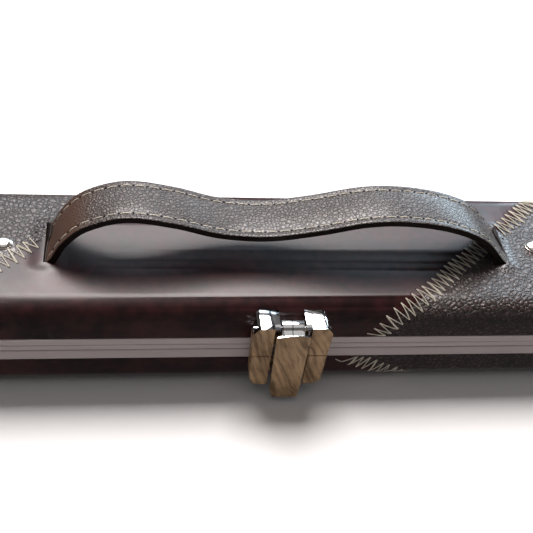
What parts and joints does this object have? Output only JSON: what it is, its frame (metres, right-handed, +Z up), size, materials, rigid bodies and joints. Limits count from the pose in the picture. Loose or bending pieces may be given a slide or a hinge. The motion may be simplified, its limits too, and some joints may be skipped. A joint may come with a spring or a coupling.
{
  "type": "cue case",
  "caption": "Slim hard case for a two-piece cue, leather-covered trays on an aluminium valance, with lever latches, back hinges and a wave-shaped strap handle.",
  "frame": {"origin": "on the resting plane, under the middle of the closed case's bounding box", "axes": "+X along the case towards the right-hand end, seen from the latches; +Y towards the hinges; +Z up, out of the lid"},
  "size_m": [0.8106, 0.1046, 0.081],
  "materials": {
    "oxblood_leather": "smooth glossy dark oxblood leather",
    "pebbled_leather": "pebbled dark brown leather, satin",
    "strap_leather": "pebbled brown leather with cream saddle stitching and dark cut edges",
    "birch_plywood": "raw birch plywood",
    "satin_aluminium": "satin anodised, faintly pink grey",
    "chrome": "polished chrome",
    "polished_nickel": "polished nickel",
    "velvet": "dark flocked velvet over foam",
    "foot_rubber": "matt black rubber"
  },
  "bodies": {
    "base": {"base_panel": "birch_plywood", "base_rail_front": "birch_plywood", "base_rail_back": "birch_plywood", "base_end_left": "birch_plywood", "base_end_right": "birch_plywood", "base_valance_front": "satin_aluminium", "base_valance_back": "satin_aluminium", "base_valance_left": "satin_aluminium", "base_valance_right": "satin_aluminium", "base_leather_left": "pebbled_leather", "base_leather_centre": "oxblood_leather", "base_leather_right": "pebbled_leather", "base_liner": "velvet", "foot_front_left": "foot_rubber", "foot_front_right": "foot_rubber", "foot_back_left": "foot_rubber", "foot_back_right": "foot_rubber", "latch_left_keeper": "chrome", "latch_centre_keeper": "chrome", "latch_right_keeper": "chrome", "hinge_left_base_leaf": "chrome", "hinge_centre_base_leaf": "chrome", "hinge_right_base_leaf": "chrome", "hinge_left_pin": "chrome", "hinge_centre_pin": "chrome", "hinge_right_pin": "chrome"},
    "lid": {"lid_panel": "birch_plywood", "lid_rail_front": "birch_plywood", "lid_rail_back": "birch_plywood", "lid_end_left": "birch_plywood", "lid_end_right": "birch_plywood", "lid_valance_front": "satin_aluminium", "lid_valance_back": "satin_aluminium", "lid_valance_left": "satin_aluminium", "lid_valance_right": "satin_aluminium", "lid_leather_left": "pebbled_leather", "lid_leather_centre": "oxblood_leather", "lid_leather_right": "pebbled_leather", "lid_liner": "velvet", "handle_strap": "strap_leather", "handle_rivet_left": "polished_nickel", "handle_rivet_right": "polished_nickel", "handle_washer_left": "polished_nickel", "handle_washer_right": "polished_nickel", "latch_left_bracket": "chrome", "latch_centre_bracket": "chrome", "latch_right_bracket": "chrome", "latch_left_pin": "chrome", "latch_centre_pin": "chrome", "latch_right_pin": "chrome", "hinge_left_lid_leaf": "chrome", "hinge_centre_lid_leaf": "chrome", "hinge_right_lid_leaf": "chrome"},
    "lever_left": {"latch_left_lever": "chrome"},
    "lever_centre": {"latch_centre_lever": "chrome"},
    "lever_right": {"latch_right_lever": "chrome"}
  },
  "joints": [
    {"name": "lid_hinge", "type": "hinge", "parent": "base", "child": "lid", "pos_m": [0, 0.0501, 0.0248], "axis": [-1, 0, 0], "range_deg": [0, 105]},
    {"name": "latch_left_lift", "type": "hinge", "parent": "lid", "child": "lever_left", "pos_m": [-0.285, -0.0436, 0.0448], "axis": [-1, 0, 0], "range_deg": [0, 100]},
    {"name": "latch_centre_lift", "type": "hinge", "parent": "lid", "child": "lever_centre", "pos_m": [0, -0.0436, 0.0448], "axis": [-1, 0, 0], "range_deg": [0, 100]},
    {"name": "latch_right_lift", "type": "hinge", "parent": "lid", "child": "lever_right", "pos_m": [0.285, -0.0436, 0.0448], "axis": [-1, 0, 0], "range_deg": [0, 100]}
  ]
}
